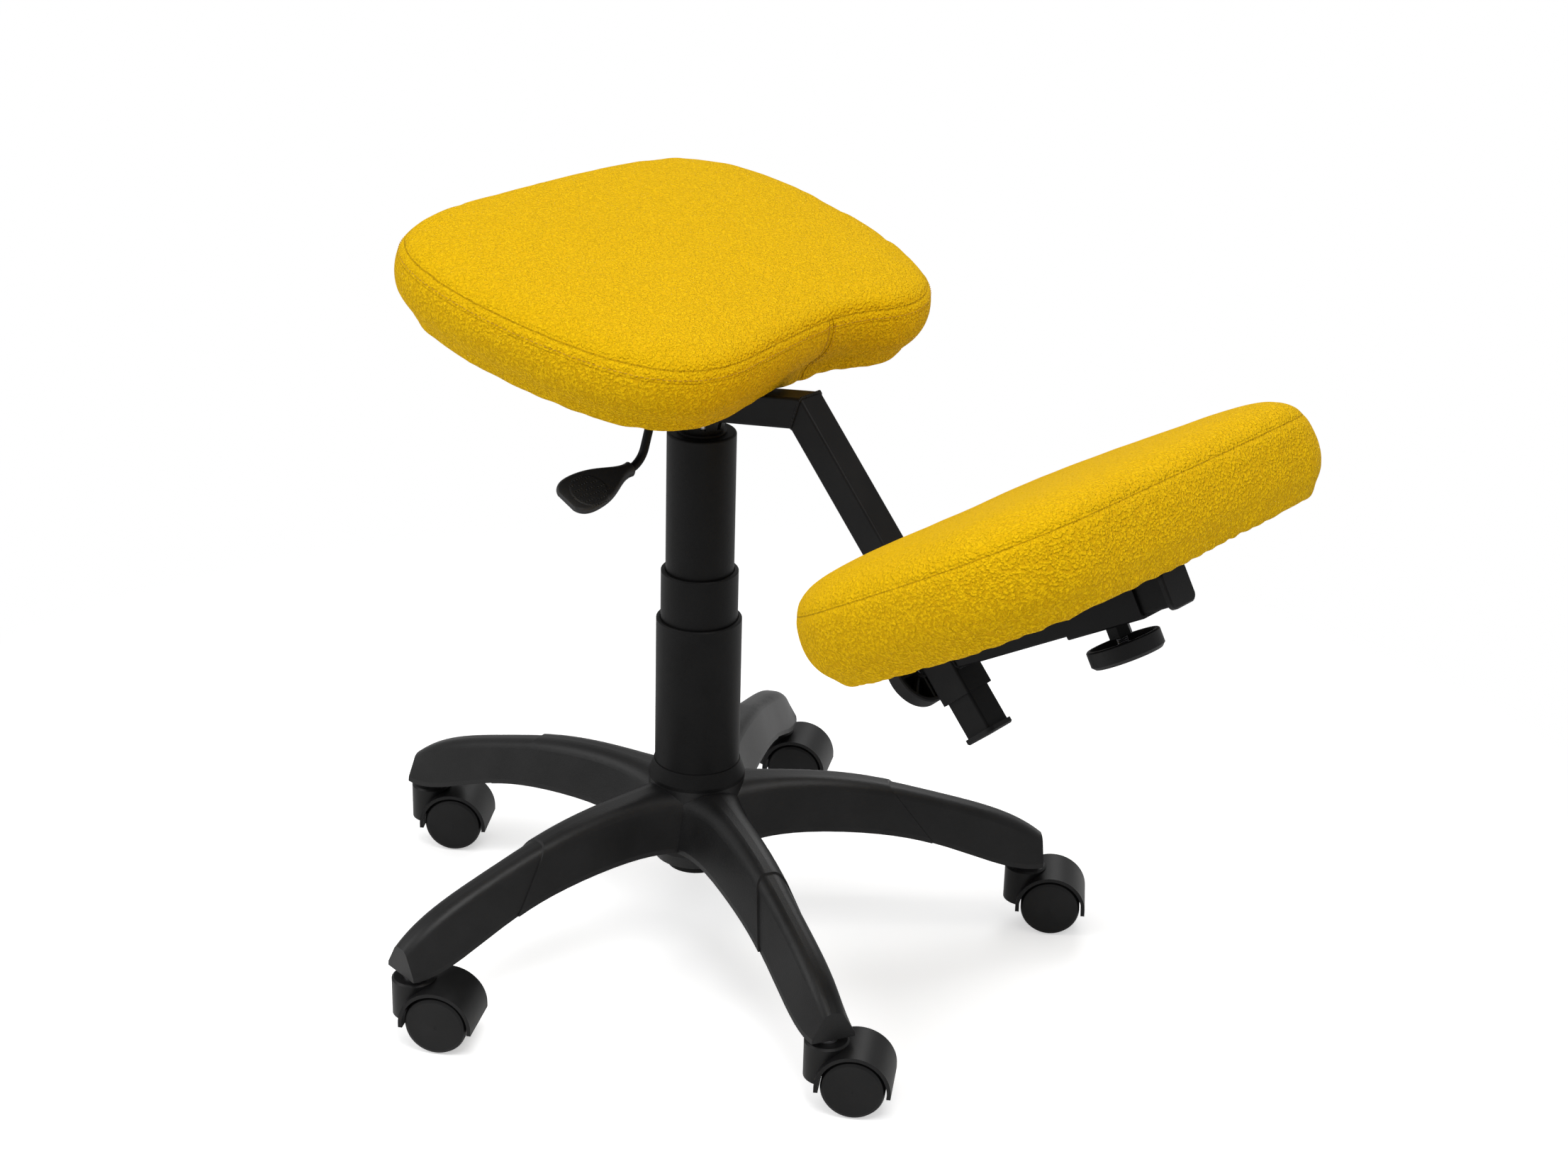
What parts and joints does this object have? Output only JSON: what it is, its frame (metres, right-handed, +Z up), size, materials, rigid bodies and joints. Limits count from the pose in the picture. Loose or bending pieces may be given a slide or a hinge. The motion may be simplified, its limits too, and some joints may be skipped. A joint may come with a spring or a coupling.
{
  "type": "kneeling stool",
  "caption": "Swivel kneeling stool: gas-lift column on a star base with castors, padded saddle seat, cranked tube frame carrying a sliding padded knee rest.",
  "frame": {"origin": "on the floor, under the swivel axis", "axes": "+Z up along the column, -Y towards the knee rest, +X to the sitter's left"},
  "size_m": [0.6005, 0.7697, 0.6193],
  "materials": {
    "black_nylon": "satin, fine grain",
    "castor_plastic": "satin",
    "black_steel": "powder coat",
    "bright_steel": "bright",
    "ply_board": "black dust cover on board",
    "upholstery": "yellow crepe weave, matt"
  },
  "bodies": {
    "base": {"star_base": "black_nylon", "gas_outer_tube": "black_steel", "guide_bush": "black_nylon", "thrust_bearing": "bright_steel", "lower_sleeve": "black_nylon", "sleeve_collar": "black_nylon"},
    "swivel": {"piston_rod": "bright_steel", "rod_clip": "bright_steel"},
    "carrier": {"gas_cylinder": "bright_steel", "top_sleeve": "black_nylon", "sleeve_hub": "black_nylon", "taper_socket": "black_steel", "seat_bracket": "black_steel", "upper_tube": "black_steel", "diagonal_tube": "black_steel", "tube_cap": "black_nylon", "seat_board": "ply_board", "seat_cushion": "upholstery"},
    "middle_cover": {"middle_sleeve": "black_nylon"},
    "lever": {"lever_rod": "black_steel", "lever_paddle": "black_nylon"},
    "button": {"release_button": "bright_steel"},
    "knee_carriage": {"knee_sleeve": "black_steel", "knee_nut": "black_steel", "knee_bar": "black_steel", "bar_cap": "black_nylon"},
    "knee_handwheel": {"knee_knob": "black_nylon", "knee_stud": "bright_steel"},
    "pad_carriage": {"pad_sleeve": "black_steel", "pad_nut": "black_steel", "pad_board": "ply_board", "knee_cushion": "upholstery"},
    "pad_handwheel": {"pad_knob": "black_nylon", "pad_stud": "bright_steel"},
    "castor_1": {"castor_1_housing": "castor_plastic", "castor_1_stem": "bright_steel", "castor_1_axle": "bright_steel"},
    "castor_1_wheel_left": {"castor_1_wheel_left": "castor_plastic"},
    "castor_1_wheel_right": {"castor_1_wheel_right": "castor_plastic"},
    "castor_2": {"castor_2_housing": "castor_plastic", "castor_2_stem": "bright_steel", "castor_2_axle": "bright_steel"},
    "castor_2_wheel_left": {"castor_2_wheel_left": "castor_plastic"},
    "castor_2_wheel_right": {"castor_2_wheel_right": "castor_plastic"},
    "castor_3": {"castor_3_housing": "castor_plastic", "castor_3_stem": "bright_steel", "castor_3_axle": "bright_steel"},
    "castor_3_wheel_left": {"castor_3_wheel_left": "castor_plastic"},
    "castor_3_wheel_right": {"castor_3_wheel_right": "castor_plastic"},
    "castor_4": {"castor_4_housing": "castor_plastic", "castor_4_stem": "bright_steel", "castor_4_axle": "bright_steel"},
    "castor_4_wheel_left": {"castor_4_wheel_left": "castor_plastic"},
    "castor_4_wheel_right": {"castor_4_wheel_right": "castor_plastic"},
    "castor_5": {"castor_5_housing": "castor_plastic", "castor_5_stem": "bright_steel", "castor_5_axle": "bright_steel"},
    "castor_5_wheel_left": {"castor_5_wheel_left": "castor_plastic"},
    "castor_5_wheel_right": {"castor_5_wheel_right": "castor_plastic"}
  },
  "joints": [
    {"name": "seat_swivel", "type": "hinge", "parent": "base", "child": "swivel", "pos_m": [0, 0, 0.068], "axis": [0, 0, 1], "continuous": true},
    {"name": "height_lift", "type": "slide", "parent": "swivel", "child": "carrier", "axis": [0, 0, 1], "range_m": [-0.11, 0.02]},
    {"name": "middle_cover_slide", "type": "slide", "parent": "base", "child": "middle_cover", "axis": [0, 0, 1], "range_m": [-0.0386, 0.0071]},
    {"name": "lever_lift", "type": "hinge", "parent": "carrier", "child": "lever", "pos_m": [-0.0285, 0, 0.509], "axis": [0, 1, 0], "range_deg": [0, 8], "stiffness_Nm_per_rad": 2, "springref_deg": -5.73},
    {"name": "button_press", "type": "slide", "parent": "carrier", "child": "button", "axis": [0, 0, -1], "range_m": [0, 0.0039]},
    {"name": "knee_slide", "type": "slide", "parent": "carrier", "child": "knee_carriage", "axis": [0, 0.6678, 0.7443], "range_m": [-0.028, 0.1]},
    {"name": "knee_clamp_turn", "type": "hinge", "parent": "knee_carriage", "child": "knee_handwheel", "pos_m": [0, -0.23705, 0.3227], "axis": [0, -0.7443, 0.6678], "range_deg": [0, 540]},
    {"name": "pad_slide", "type": "slide", "parent": "knee_carriage", "child": "pad_carriage", "axis": [0, -0.866, 0.5], "range_m": [-0.008, 0.018]},
    {"name": "pad_clamp_turn", "type": "hinge", "parent": "pad_carriage", "child": "pad_handwheel", "pos_m": [0, -0.39767, 0.40222], "axis": [0, 0.5, 0.866], "range_deg": [0, 540]},
    {"name": "castor_1_swivel", "type": "hinge", "parent": "base", "child": "castor_1", "pos_m": [0.25305, 0.12672, 0.07], "axis": [0, 0, 1], "continuous": true},
    {"name": "castor_1_wheel_left_spin", "type": "hinge", "parent": "castor_1", "child": "castor_1_wheel_left", "pos_m": [0.26384, 0.10641, 0.025], "axis": [0.8829, 0.4695, 0], "continuous": true},
    {"name": "castor_1_wheel_right_spin", "type": "hinge", "parent": "castor_1", "child": "castor_1_wheel_right", "pos_m": [0.26384, 0.10641, 0.025], "axis": [0.8829, 0.4695, 0], "continuous": true},
    {"name": "castor_2_swivel", "type": "hinge", "parent": "base", "child": "castor_2", "pos_m": [-0.04232, 0.27982, 0.07], "axis": [0, 0, 1], "continuous": true},
    {"name": "castor_2_wheel_left_spin", "type": "hinge", "parent": "castor_2", "child": "castor_2_wheel_left", "pos_m": [-0.02946, 0.26075, 0.025], "axis": [0.829, 0.5592, 0], "continuous": true},
    {"name": "castor_2_wheel_right_spin", "type": "hinge", "parent": "castor_2", "child": "castor_2_wheel_right", "pos_m": [-0.02946, 0.26075, 0.025], "axis": [0.829, 0.5592, 0], "continuous": true},
    {"name": "castor_3_swivel", "type": "hinge", "parent": "base", "child": "castor_3", "pos_m": [-0.2792, 0.04622, 0.07], "axis": [0, 0, 1], "continuous": true},
    {"name": "castor_3_wheel_left_spin", "type": "hinge", "parent": "castor_3", "child": "castor_3_wheel_left", "pos_m": [-0.26805, 0.0261, 0.025], "axis": [0.8746, 0.4848, 0], "continuous": true},
    {"name": "castor_3_wheel_right_spin", "type": "hinge", "parent": "castor_3", "child": "castor_3_wheel_right", "pos_m": [-0.26805, 0.0261, 0.025], "axis": [0.8746, 0.4848, 0], "continuous": true},
    {"name": "castor_4_swivel", "type": "hinge", "parent": "base", "child": "castor_4", "pos_m": [-0.13024, -0.25125, 0.07], "axis": [0, 0, 1], "continuous": true},
    {"name": "castor_4_wheel_left_spin", "type": "hinge", "parent": "castor_4", "child": "castor_4_wheel_left", "pos_m": [-0.11805, -0.27076, 0.025], "axis": [0.848, 0.5299, 0], "continuous": true},
    {"name": "castor_4_wheel_right_spin", "type": "hinge", "parent": "castor_4", "child": "castor_4_wheel_right", "pos_m": [-0.11805, -0.27076, 0.025], "axis": [0.848, 0.5299, 0], "continuous": true},
    {"name": "castor_5_swivel", "type": "hinge", "parent": "base", "child": "castor_5", "pos_m": [0.19871, -0.2015, 0.07], "axis": [0, 0, 1], "continuous": true},
    {"name": "castor_5_wheel_left_spin", "type": "hinge", "parent": "castor_5", "child": "castor_5_wheel_left", "pos_m": [0.21157, -0.22057, 0.025], "axis": [0.829, 0.5592, 0], "continuous": true},
    {"name": "castor_5_wheel_right_spin", "type": "hinge", "parent": "castor_5", "child": "castor_5_wheel_right", "pos_m": [0.21157, -0.22057, 0.025], "axis": [0.829, 0.5592, 0], "continuous": true}
  ],
  "couplings": [
    {"joint": "middle_cover_slide", "follows": "height_lift", "ratio": 0.35},
    {"joint": "button_press", "follows": "lever_lift", "m_per_rad": 0.0275}
  ]
}
